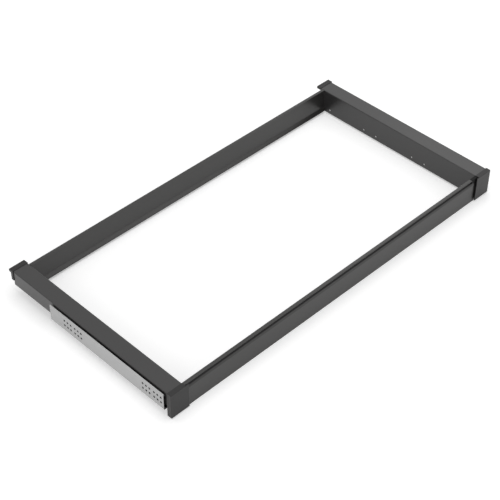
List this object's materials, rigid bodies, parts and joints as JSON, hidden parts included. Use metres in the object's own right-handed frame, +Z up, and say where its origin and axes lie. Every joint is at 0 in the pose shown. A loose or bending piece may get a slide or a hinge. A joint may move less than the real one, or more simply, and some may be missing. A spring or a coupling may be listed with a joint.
{
  "type": "pull-out wardrobe frame",
  "caption": "Pull-out wardrobe frame: channel side rails over telescopic ball slides on side brackets, joined by ledged cross bars with a grip groove and moulded end caps.",
  "frame": {"origin": "middle of the underside of the whole part, at the foot of the cross bars", "axes": "+X along the cross bars to the right, -Y the way the frame pulls out, +Z up"},
  "size_m": [0.964, 0.4908, 0.0635],
  "materials": {
    "rail_paint": "dark grey powder coat on bent steel sheet",
    "bar_coat": "dark grey powder coat on an aluminium extrusion",
    "cap_plastic": "dark grey moulded ABS, fine matt grain",
    "bracket_steel": "bright zinc-plated sheet",
    "slide_steel": "zinc-plated, roll-formed sheet",
    "cage_steel": "plain thin sheet, lightly greased",
    "ball_steel": "polished bearing steel",
    "screw_steel": "zinc-plated pan-head screws",
    "rivet_steel": "zinc-plated rivets",
    "insert_plastic": "black moulded plastic",
    "stop_plastic": "natural acetal"
  },
  "bodies": {
    "wardrobe_rails": {"left_mounting_bracket": "bracket_steel", "left_cabinet_rail": "slide_steel", "left_rear_stop": "stop_plastic", "left_bracket_rivets": "rivet_steel", "right_mounting_bracket": "bracket_steel", "right_cabinet_rail": "slide_steel", "right_rear_stop": "stop_plastic", "right_bracket_rivets": "rivet_steel"},
    "pull_out_frame": {"front_cross_bar": "bar_coat", "front_bar_end_insert": "insert_plastic", "back_cross_bar": "bar_coat", "left_side_rail": "rail_paint", "left_drawer_rail": "slide_steel", "left_cross_bar_screws": "screw_steel", "left_drawer_rail_rivets": "rail_paint", "right_side_rail": "rail_paint", "right_drawer_rail": "slide_steel", "right_cross_bar_screws": "screw_steel", "right_drawer_rail_rivets": "rail_paint", "front_left_end_cap": "cap_plastic", "front_right_end_cap": "cap_plastic", "back_left_end_cap": "cap_plastic", "back_right_end_cap": "cap_plastic"},
    "left_middle_rail_body": {"left_middle_rail": "slide_steel"},
    "left_outer_cage_body": {"left_outer_ball_cage": "cage_steel", "left_outer_balls": "ball_steel"},
    "left_inner_cage_body": {"left_inner_ball_cage": "cage_steel", "left_inner_balls": "ball_steel"},
    "right_middle_rail_body": {"right_middle_rail": "slide_steel"},
    "right_outer_cage_body": {"right_outer_ball_cage": "cage_steel", "right_outer_balls": "ball_steel"},
    "right_inner_cage_body": {"right_inner_ball_cage": "cage_steel", "right_inner_balls": "ball_steel"}
  },
  "joints": [
    {"name": "pull_out", "type": "slide", "parent": "wardrobe_rails", "child": "pull_out_frame", "axis": [0, -1, 0], "range_m": [0, 0.43]},
    {"name": "left_middle_rail_slide", "type": "slide", "parent": "wardrobe_rails", "child": "left_middle_rail_body", "axis": [0, -1, 0], "range_m": [0, 0.215]},
    {"name": "left_outer_cage_slide", "type": "slide", "parent": "wardrobe_rails", "child": "left_outer_cage_body", "axis": [0, -1, 0], "range_m": [0, 0.1075]},
    {"name": "left_inner_cage_slide", "type": "slide", "parent": "wardrobe_rails", "child": "left_inner_cage_body", "axis": [0, -1, 0], "range_m": [0, 0.3225]},
    {"name": "right_middle_rail_slide", "type": "slide", "parent": "wardrobe_rails", "child": "right_middle_rail_body", "axis": [0, -1, 0], "range_m": [0, 0.215]},
    {"name": "right_outer_cage_slide", "type": "slide", "parent": "wardrobe_rails", "child": "right_outer_cage_body", "axis": [0, -1, 0], "range_m": [0, 0.1075]},
    {"name": "right_inner_cage_slide", "type": "slide", "parent": "wardrobe_rails", "child": "right_inner_cage_body", "axis": [0, -1, 0], "range_m": [0, 0.3225]}
  ],
  "couplings": [
    {"joint": "left_middle_rail_slide", "follows": "pull_out", "ratio": 0.5},
    {"joint": "left_outer_cage_slide", "follows": "pull_out", "ratio": 0.25},
    {"joint": "left_inner_cage_slide", "follows": "pull_out", "ratio": 0.75},
    {"joint": "right_middle_rail_slide", "follows": "pull_out", "ratio": 0.5},
    {"joint": "right_outer_cage_slide", "follows": "pull_out", "ratio": 0.25},
    {"joint": "right_inner_cage_slide", "follows": "pull_out", "ratio": 0.75}
  ]
}
